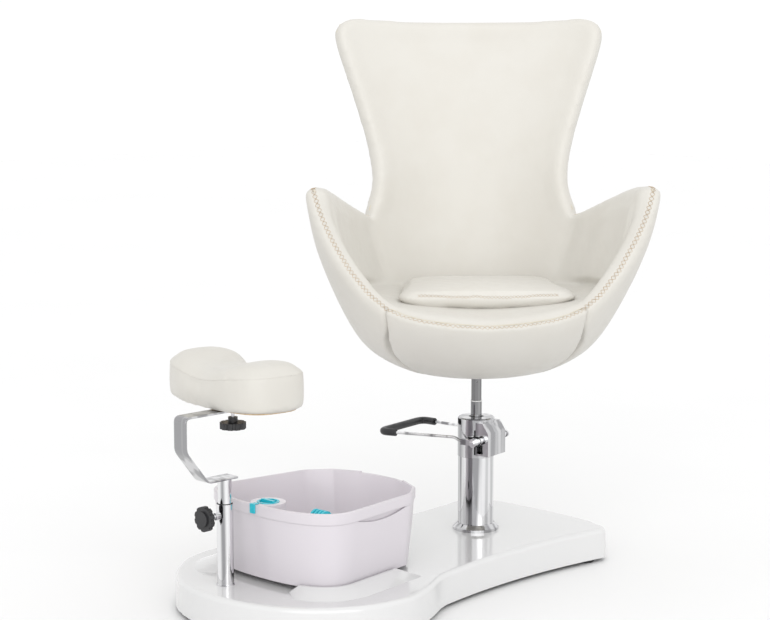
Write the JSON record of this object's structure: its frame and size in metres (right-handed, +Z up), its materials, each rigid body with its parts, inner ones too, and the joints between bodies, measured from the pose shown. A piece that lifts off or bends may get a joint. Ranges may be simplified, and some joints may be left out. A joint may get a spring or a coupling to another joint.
{
  "type": "pedicure spa chair",
  "caption": "Pedicure chair with a padded egg-shaped swivel seat on a foot-pumped lift, a glossy platform, a removable foot spa basin and a footrest on an adjustable post.",
  "frame": {"origin": "centre of the whole object's box, on the floor under the feet", "axes": "+Z up, -Y towards the footrest end of the platform, +X to the right of somebody looking along +Y"},
  "size_m": [0.8949, 1.3898, 1.3751],
  "materials": {
    "white_gloss": "high gloss",
    "dark_steel": "satin",
    "rubber_black": "matt",
    "rubber_grey": "matt",
    "zinc": "zinc plated",
    "chrome": "polished",
    "steel": "ground",
    "seal_black": "satin",
    "grip_black": "satin",
    "nylon_white": "satin",
    "nylon_black": "satin",
    "core": "rough",
    "leather_cream": "soft sheen",
    "foam": "matt",
    "knob_black": "satin",
    "plywood": "raw",
    "lilac_plastic": "soft gloss",
    "teal_plastic": "gloss"
  },
  "bodies": {
    "stand": {"base_shell": "white_gloss", "ballast_plate": "dark_steel", "support_frame": "dark_steel", "foot_pads": "rubber_black", "foot_studs": "zinc", "pump_flange": "chrome", "flange_bolts": "zinc", "pump_cylinder": "chrome", "pump_head": "chrome", "guide_barrel": "steel", "ram_seal": "seal_black", "pump_block": "steel", "pedal_shroud": "chrome", "post_tube": "chrome", "post_flange": "chrome", "post_bush": "nylon_black"},
    "pedal": {"pedal_shaft": "chrome", "pedal_lugs": "chrome", "pedal_rod": "chrome", "pedal_grip": "grip_black"},
    "plunger_pin": {"plunger": "steel", "plunger_spring": "steel"},
    "lift_ram": {"ram": "chrome", "ram_ring": "seal_black", "swivel_washer": "nylon_white"},
    "seat": {"seat_tube": "chrome", "seat_plate": "dark_steel", "seat_bolts": "zinc", "shell_core": "core", "shell_lining": "leather_cream", "shell_cover": "leather_cream", "front_panel": "leather_cream", "seat_base": "foam"},
    "cushion": {"seat_cushion": "leather_cream"},
    "footrest_arm": {"post_inner": "chrome", "bracket": "chrome"},
    "clamp_knob": {"post_knob": "knob_black", "post_stud": "chrome"},
    "pad": {"pad_board": "plywood", "footrest_pad": "leather_cream", "pad_nut": "zinc"},
    "under_knob": {"pad_knob": "knob_black", "pad_bolt": "zinc"},
    "foot_spa": {"bath_tub": "lilac_plastic", "bath_housing": "lilac_plastic", "bath_floor": "lilac_plastic", "bath_feet": "rubber_grey", "heater_plate": "dark_steel", "control_pod": "lilac_plastic", "rim_clip": "teal_plastic", "roller_stand": "lilac_plastic", "roller_axle": "steel", "power_inlet": "nylon_black"},
    "dial": {"control_dial": "teal_plastic", "dial_shaft": "nylon_black"},
    "roller": {"massage_roller": "teal_plastic"}
  },
  "joints": [
    {"name": "lift", "type": "slide", "parent": "stand", "child": "lift_ram", "axis": [0, 0, 1], "range_m": [-0.034, 0.1]},
    {"name": "seat_turn", "type": "hinge", "parent": "lift_ram", "child": "seat", "pos_m": [0.016, 0.219, 0.478], "axis": [0, 0, 1], "continuous": true},
    {"name": "cushion_lift", "type": "slide", "parent": "seat", "child": "cushion", "axis": [0, 0, 1], "range_m": [0, 0.25]},
    {"name": "pedal_press", "type": "hinge", "parent": "stand", "child": "pedal", "pos_m": [0.04859, 0.22416, 0.32], "axis": [-0.1564, 0.9877, 0], "range_deg": [-28, 0], "stiffness_Nm_per_rad": 6, "springref_deg": 28.65},
    {"name": "plunger_slide", "type": "slide", "parent": "stand", "child": "plunger_pin", "axis": [0, 0, 1], "range_m": [-0.006, 0.001], "deforming": ["plunger_spring"]},
    {"name": "post_slide", "type": "slide", "parent": "stand", "child": "footrest_arm", "axis": [0, 0, 1], "range_m": [-0.05, 0.06]},
    {"name": "clamp_turn", "type": "hinge", "parent": "stand", "child": "clamp_knob", "pos_m": [-0.038, -0.627, 0.249], "axis": [0, -1, 0], "range_deg": [0, 360]},
    {"name": "pad_swivel", "type": "hinge", "parent": "footrest_arm", "child": "pad", "pos_m": [-0.038, -0.546, 0.4904], "axis": [0, 0, 1], "range_deg": [-90, 90]},
    {"name": "under_knob_turn", "type": "hinge", "parent": "footrest_arm", "child": "under_knob", "pos_m": [-0.038, -0.546, 0.445], "axis": [0, 0, 1], "range_deg": [0, 360]},
    {"name": "spa_lift", "type": "slide", "parent": "stand", "child": "foot_spa", "axis": [0, 0, 1], "range_m": [0, 0.04]},
    {"name": "dial_turn", "type": "hinge", "parent": "foot_spa", "child": "dial", "pos_m": [0.006, -0.48, 0.271], "axis": [0, 0, 1], "range_deg": [-270, 0]},
    {"name": "roller_spin", "type": "hinge", "parent": "foot_spa", "child": "roller", "pos_m": [-0.016, -0.293, 0.196], "axis": [1, 0, 0], "continuous": true}
  ],
  "couplings": [
    {"joint": "plunger_slide", "follows": "pedal_press", "m_per_rad": 0.011}
  ]
}
